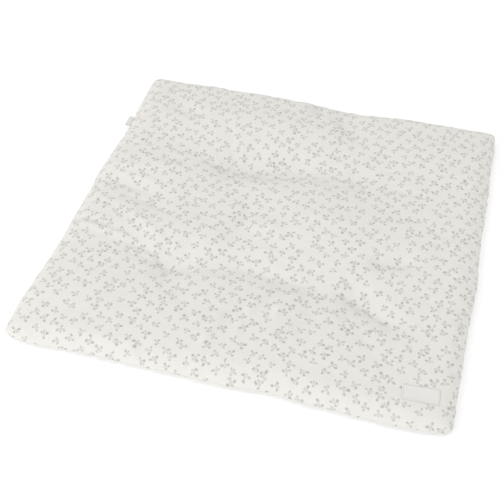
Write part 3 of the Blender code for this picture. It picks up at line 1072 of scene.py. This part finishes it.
    def inflate(self, made: bpy.types.Object) -> None:
        """Lets air pressure and the cloth's own stiffness shape the panels, then keeps the movement small.

        Args:
            made: The sewn panels.
        """
        start = places_of(made)
        held = np.where(start[:, 2] < self.held_on_floor, 1.0, 0.0)
        held[np.abs(start[:, 2] - self.shape.seam_height) < 1e-6] = self.seam_hold
        for tuft in TUFTS:
            at_x, at_y = self.shape.spot(tuft)
            away = np.hypot(start[:, 0] - at_x, start[:, 1] - at_y)
            held = np.maximum(held, smooth(2 - away / self.held_round_tuft))
        group = made.vertex_groups.new(name="held")
        for number in np.flatnonzero(held > 0).tolist():
            group.add([number], float(held[number]), "REPLACE")
        cloth = made.modifiers.new("Filling", "CLOTH")
        settings = cloth.settings
        settings.quality = self.cloth_quality
        settings.vertex_group_mass = "held"
        settings.use_pressure = True
        settings.uniform_pressure_force = self.pressure
        settings.effector_weights.gravity = 0.0
        settings.shrink_min = -self.growth
        settings.tension_stiffness = self.stretch_stiffness
        settings.compression_stiffness = self.stretch_stiffness
        settings.bending_stiffness = self.bend_stiffness
        cloth.collision_settings.use_collision = False
        for number in range(1, self.frames + 1):
            bpy.context.scene.frame_set(number)
        applied(made)
        bpy.context.scene.frame_set(1)
        moved = places_of(made) - start
        far = np.linalg.norm(moved, axis=1, keepdims=True)
        LOG.info("filling moved the cloth by %.1f mm at most before the cap", 1000 * far.max())
        kept = np.tanh(far / self.most_move) * self.most_move
        move_to(made, start + moved * kept / np.maximum(far, 1e-9))
        made.vertex_groups.clear()

    def refine(self, made: bpy.types.Object) -> None:
        """Halves the size of the mesh's cells."""
        finer = made.modifiers.new("Finer", "SUBSURF")
        finer.levels = finer.render_levels = 1
        applied(made)

    def wrinkle(self, made: bpy.types.Object) -> None:
        """Adds the fine folds: creases, pleats round the tufts, puckers at the seam and soft ripples."""
        places, outward = places_of(made), normals_of(made)
        x, y, z = places.T
        u, v = self.shape.shares(x, y)
        inset = np.maximum(self.shape.inside(x, y), 0.0)
        upper = smooth((z - self.shape.seam_height) / self.fold_start)
        rise = np.zeros(len(places))
        shares = np.column_stack([u, v])
        for crease in CREASES:
            away, along, _ = beside(shares, crease.points)
            fade = smooth(np.minimum(along, 1 - along) / self.crease_fade)
            rise += crease.rise * fade * bell(away, crease.width)
        for pleat in PLEATS:
            at_x, at_y = self.shape.spot(TUFTS[pleat.tuft])
            heading = math.radians(pleat.heading)
            out_x, out_y = math.cos(heading), math.sin(heading)
            ahead = (x - at_x) * out_x + (y - at_y) * out_y
            aside = (y - at_y) * out_x - (x - at_x) * out_y
            swell = smooth(ahead / self.pleat_start) * smooth((pleat.reach - ahead) / (0.6 * pleat.reach))
            wide = pleat.width * (0.6 + np.clip(ahead / pleat.reach, 0.0, 1.0))
            rise -= pleat.depth * swell * bell(aside, wide)
        rise += self.ripple * np.array([self.rippled(a, b) for a, b in zip(u.tolist(), v.tolist())])
        rise *= upper
        from_seam = np.hypot(inset, z - self.shape.seam_height)
        pucker = np.exp(-from_seam / self.pucker_reach) * smooth(from_seam / self.pucker_start)
        for wave in PUCKERS:
            turn = math.tau * (x + self.pucker_slant * y) / wave.length + wave.start
            rise += wave.height * pucker * np.sin(turn)
        places = places + outward * rise[:, None]
        places[:, 2] = np.maximum(places[:, 2], 0.0)
        move_to(made, places)

    def rippled(self, u: float, v: float) -> float:
        """A soft uneven ripple, longer along the width than along the depth."""
        wide = noise.noise(Vector((u * 9.0, v * 16.0, 3.1)))
        fine = noise.noise(Vector((u * 26.0 + 4.0 * wide, v * 44.0, 8.4)))
        return wide + self.fine_ripple * fine

    def build(self) -> bpy.types.Object:
        """Makes the cover and gives it its finishes and its place in the model."""
        made = self.sewn()
        self.inflate(made)
        self.refine(made)
        self.wrinkle(made)
        made.data.shade_smooth()
        printed = PrintedCloth(
            name="printed_cotton", colour=(0.722, 0.704, 0.669), **self.cloth_of(Panel.TOP)
        )
        plain = PanelCloth(name="plain_cotton", colour=(0.735, 0.729, 0.712), **self.cloth_of(Panel.BACK))
        made.data.materials.append(printed.material())
        made.data.materials.append(plain.material())
        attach(made, BODY)
        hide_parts("padded_mat")
        return made


@dataclass
class TuftThreads:
    """The short bars of thread that hold the tufts, on the top and on the back."""

    surface: BVHTree
    shape: PadShape = field(default_factory=PadShape)
    length: float = 0.009
    radius: float = 0.0007
    apart: float = 0.0017
    arch: float = 0.0012
    points: int = 7

    def bar(self, solid: bmesh.types.BMesh, tuft: Tuft, aside: float, facing: float) -> None:
        """Adds a strand over a tuft.

        Args:
            solid: The shape to add to.
            tuft: The tuft.
            aside: How far the strand is from the tuft's middle.
            facing: 1 for the top of the mat and -1 for its back.
        """
        at_x, at_y = self.shape.spot(tuft)
        turn = math.radians(tuft.turn)
        along = Vector((math.cos(turn), math.sin(turn), 0))
        across = Vector((-along.y, along.x, 0))
        strand = []
        for number in range(self.points):
            share = 2 * number / (self.points - 1) - 1
            place = Vector((at_x, at_y, 0)) + along * share * self.length / 2 + across * aside
            hit = self.surface.ray_cast(place + UP * 0.2 * facing, -UP * facing)[0]
            lift = self.arch * (1 - 1.6 * share * share) * facing
            strand.append(hit + UP * lift)
        add_strand(solid, strand, self.radius)

    def build(self) -> bpy.types.Object:
        """Makes the strands of all the tufts as one piece."""
        solid = bmesh.new()
        for tuft in TUFTS:
            for aside in (-self.apart / 2, self.apart / 2):
                self.bar(solid, tuft, aside, 1.0)
                self.bar(solid, tuft, aside, -1.0)
        finish = Cloth(name="tufting_thread", colour=(0.68, 0.66, 0.62), yarn=0.0005, weave_height=0.0001)
        made = object_from("tuft_threads", solid, finish.material())
        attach(made, BODY)
        return made


@dataclass
class CornerPatch:
    """The bare woven patch near the front right corner, with its turned edge and its stitches."""

    surface: BVHTree
    shape: PadShape = field(default_factory=PadShape)
    u: float = 0.919
    v: float = 0.076
    turn: float = 5.0
    width: float = 0.075
    depth: float = 0.036
    corner_radius: float = 0.003
    cells_wide: int = 60
    cells_deep: int = 30
    gap: float = 0.0004
    thickness: float = 0.0010
    inner_share: float = 0.6
    hem: float = 0.0045
    stitch_inset: float = 0.0026
    stitch_length: float = 0.0026
    stitch_pitch: float = 0.0041
    stitch_radius: float = 0.00028
    stitch_line = ((-0.5, -0.0001), (-0.3, 0.0003), (0.0, 0.0004), (0.3, 0.0003), (0.5, -0.0001))

    def laid(self, x: float, y: float, lift: float) -> Vector:
        """A point over the mat, at a place measured from the patch's middle.

        Args:
            x: The place along the patch's width.
            y: The place along its depth.
            lift: The height over the mat's cloth.

        Returns:
            The point.
        """
        middle = Vector(((self.u - 0.5) * self.shape.side, (self.v - 0.5) * self.shape.side, 0.2))
        place = middle + Matrix.Rotation(math.radians(self.turn), 3, "Z") @ Vector((x, y, 0))
        return self.surface.ray_cast(place, -UP)[0] + UP * lift

    def cloth(self) -> bpy.types.Object:
        """Makes the patch itself."""
        solid = bmesh.new()
        bmesh.ops.create_grid(solid, x_segments=self.cells_wide, y_segments=self.cells_deep, size=0.5)
        weights = []
        for point in solid.verts:
            flat = np.array([point.co.x * self.width]), np.array([point.co.y * self.depth])
            x, y = round_corners(*flat, self.width / 2, self.depth / 2, self.corner_radius)
            point.co = self.laid(float(x[0]), float(y[0]), self.gap)
            edge = min(self.width / 2 - abs(x[0]), self.depth / 2 - abs(y[0]))
            weights.append(1 - float(smooth((edge - self.hem) / 0.0012)))
        finish = Cloth(
            name="patch_cotton",
            colour=(0.716, 0.706, 0.676),
            yarn=0.0008,
            slub=0.03,
            mottle=0.015,
            patch=0.02,
        )
        made = object_from("corner_patch_cloth", solid, finish.material())
        group = made.vertex_groups.new(name="turned edge")
        for number, weight in enumerate(weights):
            group.add([number], weight, "REPLACE")
        thick = made.modifiers.new("Cloth thickness", "SOLIDIFY")
        thick.thickness = self.thickness
        thick.offset = 1.0
        thick.vertex_group = group.name
        thick.thickness_vertex_group = self.inner_share
        applied(made)
        made.data.shade_smooth()
        return made

    def line(self) -> Iterable[tuple[Vector, Vector]]:
        """The middle and the direction of each stitch round the patch's edge."""
        half_x, half_y = self.width / 2 - self.stitch_inset, self.depth / 2 - self.stitch_inset
        corners = [Vector((-half_x, -half_y)), Vector((half_x, -half_y))]
        corners += [Vector((half_x, half_y)), Vector((-half_x, half_y))]
        for start, end in zip(corners, corners[1:] + corners[:1]):
            run = end - start
            count = round(run.length / self.stitch_pitch)
            for number in range(count):
                yield start + run * (number + 0.5) / count, run.normalized()

    def stitches(self) -> bpy.types.Object:
        """Makes the running stitch as one piece."""
        solid = bmesh.new()
        for middle, ahead in self.line():
            strand = []
            for share, lift in self.stitch_line:
                place = middle + ahead * share * self.stitch_length
                strand.append(self.laid(place.x, place.y, self.gap + self.thickness + lift))
            add_strand(solid, strand, self.stitch_radius, sides=5)
        finish = Cloth(name="patch_thread", colour=(0.60, 0.595, 0.57), yarn=0.0004, weave_height=0.0001)
        return object_from("corner_patch_stitches", solid, finish.material())

    def build(self) -> list[bpy.types.Object]:
        """Makes the patch and its stitches, and gives them their place in the model."""
        cloth, stitches = self.cloth(), self.stitches()
        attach(cloth, BODY)
        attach(stitches, BODY)
        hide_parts("corner_patch")
        return [cloth, stitches]


@dataclass
class SideTab:
    """The folded tape caught in the left seam. It leans to the back and reaches out less there."""

    shape: PadShape = field(default_factory=PadShape)
    v: float = 0.788
    length: float = 0.034
    reach: float = 0.018
    back_share: float = 0.75
    lean: float = 0.009
    thickness: float = 0.0009
    fold_radius: float = 0.0015
    fold_steps: int = 12
    straight_steps: int = 8
    cells: int = 24
    droop: float = 0.003
    curl: float = 0.0008
    sewn_in: float = 0.0008

    def section(self) -> list[tuple[float, float]]:
        """The folded tape's middle line, as places out of the seam and heights."""
        rise = self.fold_radius
        straight = self.reach - rise
        steps = [straight * number / self.straight_steps for number in range(self.straight_steps)]
        line = [(out, rise) for out in steps]
        for number in range(self.fold_steps + 1):
            turn = math.pi * number / self.fold_steps
            line.append((straight + rise * math.sin(turn), rise * math.cos(turn)))
        return line + [(out, -rise) for out in reversed(steps)]

    def cut_length(self) -> float:
        """The tape's length from one end to the other when it lies flat, at the tab's middle."""
        line = self.section()
        out_share = (1 + self.back_share) / 2
        return sum(
            math.hypot((b[0] - a[0]) * out_share, b[1] - a[1]) for a, b in zip(line, line[1:])
        )

    def build(self) -> bpy.types.Object:
        """Makes the tab and gives it its place in the model."""
        section = self.section()
        middle_y = (self.v - 0.5) * self.shape.side
        solid = bmesh.new()
        bmesh.ops.create_grid(solid, x_segments=len(section) - 1, y_segments=self.cells, size=0.5)
        for point in solid.verts:
            out, high = section[round((point.co.x + 0.5) * (len(section) - 1))]
            out *= 1 - (1 - self.back_share) * (point.co.y + 0.5)
            along_seam = middle_y + point.co.y * self.length
            seam_x, _ = self.shape.drawn_in(np.array([-self.shape.half]), np.array([along_seam]))
            y = along_seam + self.lean * out / self.reach
            sag = self.droop * (out / self.reach) ** 2
            curl = self.curl * math.sin(point.co.y * 5.0 + 0.6) * out / self.reach
            point.co = (float(seam_x[0]) + self.sewn_in - out, y, self.shape.seam_height + high - sag + curl)
        finish = Cloth(
            name="tab_tape",
            colour=(0.662, 0.674, 0.642),
            yarn=0.0014,
            slub=0.06,
            weave_height=0.0003,
            mottle=0.02,
            patch=0.015,
        )
        made = object_from("side_tab_tape", solid, finish.material())
        thick = made.modifiers.new("Tape thickness", "SOLIDIFY")
        thick.thickness = self.thickness
        thick.offset = 0.0
        applied(made)
        made.data.shade_smooth()
        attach(made, BODY)
        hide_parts("side_tab")
        self.cut_length()
        return made


@dataclass
class Studio:
    """The pale floor, the soft light and the camera."""

    floor_side: float = 14.0
    floor_colour: tuple[float, float, float] = (0.84, 0.84, 0.84)
    floor_glow: float = 0.18
    sky: float = 1.0
    sky_lean: float = 0.15
    bright_side: tuple[float, float, float] = (-0.44, -0.89, 0.15)
    lamp_place: tuple[float, float, float] = (-1.5, -2.5, 1.85)
    lamp_side: float = 2.2
    lamp_power: float = 21.0
    eye: tuple[float, float, float] = (0.37068, -1.49382, 1.53165)
    eye_turn: tuple[float, float, float] = (43.9251, 0.3500, 15.9119)
    lens: float = 65.999

    def floor(self) -> None:
        """Lays the floor."""
        solid = bmesh.new()
        bmesh.ops.create_grid(solid, x_segments=8, y_segments=8, size=self.floor_side / 2)
        bmesh.ops.translate(solid, verts=solid.verts, vec=(0, 0, -0.0002))
        finish = bpy.data.materials.new("pale_floor")
        finish.use_nodes = True
        shader = finish.node_tree.nodes["Principled BSDF"]
        shader.inputs["Base Color"].default_value = (*self.floor_colour, 1.0)
        shader.inputs["Roughness"].default_value = 0.9
        shader.inputs["Specular IOR Level"].default_value = 0.1
        shader.inputs["Emission Color"].default_value = (1.0, 1.0, 1.0, 1.0)
        shader.inputs["Emission Strength"].default_value = self.floor_glow
        object_from("floor", solid, finish)

    def sky_light(self) -> None:
        """Fills the room with soft light, a little brighter on one side."""
        world = bpy.data.worlds.new("soft_room")
        world.use_nodes = True
        bpy.context.scene.world = world
        nodes = Nodes(world.node_tree)
        way = nodes.add("ShaderNodeTexCoord").outputs["Generated"]
        lean = nodes.vector("DOT_PRODUCT", way, self.bright_side)
        strength = nodes.maths("MULTIPLY_ADD", lean, self.sky * self.sky_lean, self.sky)
        background = world.node_tree.nodes["Background"]
        background.inputs["Color"].default_value = (1.0, 1.0, 1.0, 1.0)
        nodes.give(background.inputs["Strength"], strength)

    def lamp(self) -> None:
        """Hangs a large soft lamp in front of the mat, a little to the left."""
        data = bpy.data.lights.new("front_softbox", "AREA")
        data.shape = "SQUARE"
        data.size = self.lamp_side
        data.energy = self.lamp_power
        made = bpy.data.objects.new("front_softbox", data)
        made.location = self.lamp_place
        made.rotation_euler = (-Vector(self.lamp_place)).to_track_quat("-Z", "Y").to_euler()
        bpy.context.scene.collection.objects.link(made)

    def camera(self) -> None:
        """Sets up the camera at the photograph's place."""
        data = bpy.data.cameras.new("camera")
        data.lens = self.lens
        data.sensor_width = 36.0
        made = bpy.data.objects.new("camera", data)
        made.location = self.eye
        made.rotation_euler = Euler([math.radians(turn) for turn in self.eye_turn], "XYZ")
        bpy.context.scene.collection.objects.link(made)
        bpy.context.scene.camera = made

    def build(self) -> None:
        """Sets up everything round the object."""
        self.floor()
        self.sky_light()
        self.lamp()
        self.camera()
        bpy.context.scene.view_settings.view_transform = "Standard"


def report(made: Iterable[bpy.types.Object]) -> None:
    """Writes each piece's size to the log."""
    for piece in made:
        triangles = sum(len(face.vertices) - 2 for face in piece.data.polygons)
        spans = ", ".join(f"{1000 * span:.1f}" for span in piece.dimensions)
        LOG.info("%s: %d triangles, %s mm", piece.name, triangles, spans)


def main() -> None:
    """Builds the mat's pieces in order, then the studio."""
    logging.basicConfig(level=logging.INFO, format="%(message)s")
    shape = PadShape()
    cover = MatCover(shape=shape).build()
    bpy.context.view_layer.update()
    surface = BVHTree.FromObject(cover, bpy.context.evaluated_depsgraph_get())
    pieces = [cover, TuftThreads(surface=surface, shape=shape).build()]
    pieces += CornerPatch(surface=surface, shape=shape).build()
    pieces.append(SideTab(shape=shape).build())
    Studio().build()
    bpy.context.view_layer.update()
    report(pieces)


if __name__ == "__main__":
    main()
